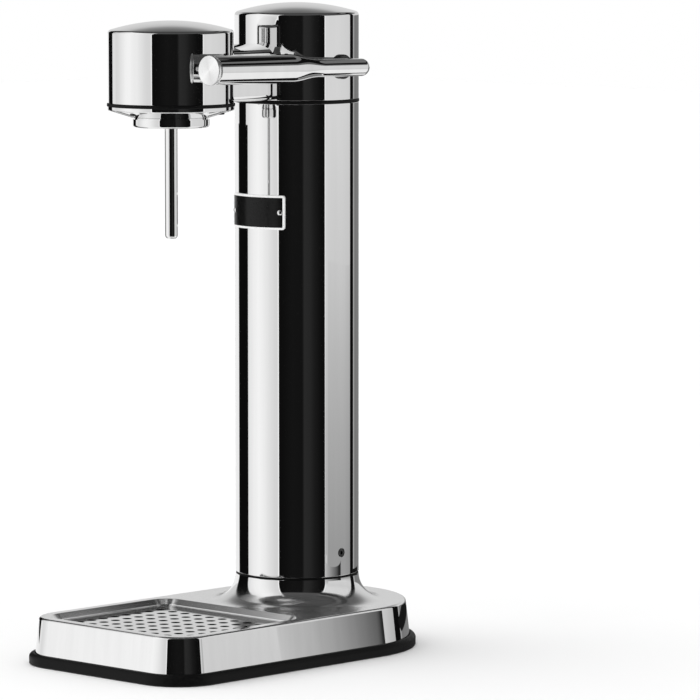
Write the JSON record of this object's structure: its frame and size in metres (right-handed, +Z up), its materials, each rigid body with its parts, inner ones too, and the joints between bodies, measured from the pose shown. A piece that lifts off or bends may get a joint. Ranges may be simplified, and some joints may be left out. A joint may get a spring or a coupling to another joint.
{
  "type": "sparkling water maker",
  "caption": "Countertop bottle carbonator: D-shaped base with drip tray, tall column that hides the gas cylinder, and a head with nozzle worked by a side lever.",
  "frame": {"origin": "middle of the base's underside, on the table", "axes": "+Z up along the column, front with the drip tray towards -Y, lever on the +X side"},
  "size_m": [0.153, 0.258, 0.414],
  "materials": {
    "polished_steel": "mirror polished stainless steel",
    "spun_steel": "spun in rings",
    "satin_steel": "satin",
    "plain_steel": "plain mill finish",
    "screw_steel": "machined",
    "brass": "machined",
    "black_rubber": "matte",
    "pale_rubber": "matte",
    "black_plastic": "satin moulded",
    "white_plastic": "moulded",
    "white_enamel": "gloss white enamel",
    "badge_enamel": "gloss black enamel",
    "cylinder_paint": "satin paint"
  },
  "bodies": {
    "frame": {"rubber_foot": "black_rubber", "base_plate": "plain_steel", "base_shell": "polished_steel", "base_screws": "screw_steel", "column_spigot": "plain_steel", "spigot_screws": "screw_steel", "lower_gasket": "black_rubber", "column_tube": "polished_steel", "column_screws": "screw_steel", "badge_plate": "badge_enamel", "badge_frame": "white_enamel", "badge_rivets": "polished_steel", "cylinder_guides": "black_plastic", "upper_gasket": "black_rubber", "bulkhead": "plain_steel", "valve_block": "brass", "valve_screws": "screw_steel", "shaft_bracket": "plain_steel", "rear_cap": "polished_steel", "cap_screws": "screw_steel", "lever_bush": "black_plastic", "bridge": "polished_steel", "gas_line": "plain_steel", "gas_unions": "brass", "head_shell": "polished_steel", "head_gasket": "black_rubber", "head_dish": "polished_steel", "head_screws": "screw_steel", "bottle_collar": "polished_steel", "bottle_seal": "pale_rubber", "nozzle_block": "white_plastic", "nozzle_tube": "polished_steel", "nozzle_jet": "white_plastic", "relief_valve": "brass"},
    "lever": {"lever_rod": "polished_steel", "lever_disc": "spun_steel", "pivot_shaft": "plain_steel", "shaft_clip": "screw_steel", "cam": "brass"},
    "plunger": {"plunger": "plain_steel", "return_spring": "screw_steel"},
    "gas_cylinder": {"gas_cylinder": "cylinder_paint", "cylinder_valve": "brass"},
    "valve_pin": {"valve_pin": "plain_steel"},
    "drip_tray": {"drip_tray": "satin_steel"},
    "drip_grille": {"drip_grille": "satin_steel"}
  },
  "joints": [
    {"name": "lever_pivot", "type": "hinge", "parent": "frame", "child": "lever", "pos_m": [0, 0.0525, 0.374], "axis": [1, 0, 0], "range_deg": [0, 40], "stiffness_Nm_per_rad": 0.8, "springref_deg": -22.92},
    {"name": "plunger_slide", "type": "slide", "parent": "frame", "child": "plunger", "axis": [0, 0, -1], "range_m": [0, 0.0028], "deforming": ["return_spring"]},
    {"name": "cylinder_slide", "type": "slide", "parent": "frame", "child": "gas_cylinder", "axis": [0, 0, -1], "range_m": [0, 0.345]},
    {"name": "pin_slide", "type": "slide", "parent": "gas_cylinder", "child": "valve_pin", "axis": [0, 0, -1], "range_m": [0, 0.0028]},
    {"name": "tray_lift", "type": "slide", "parent": "frame", "child": "drip_tray", "axis": [0, 0, 1], "range_m": [0, 0.04]},
    {"name": "grille_lift", "type": "slide", "parent": "drip_tray", "child": "drip_grille", "axis": [0, 0, 1], "range_m": [0, 0.03]}
  ],
  "couplings": [
    {"joint": "plunger_slide", "follows": "lever_pivot", "m_per_rad": 0.003919},
    {"joint": "pin_slide", "follows": "lever_pivot", "m_per_rad": 0.003919}
  ]
}
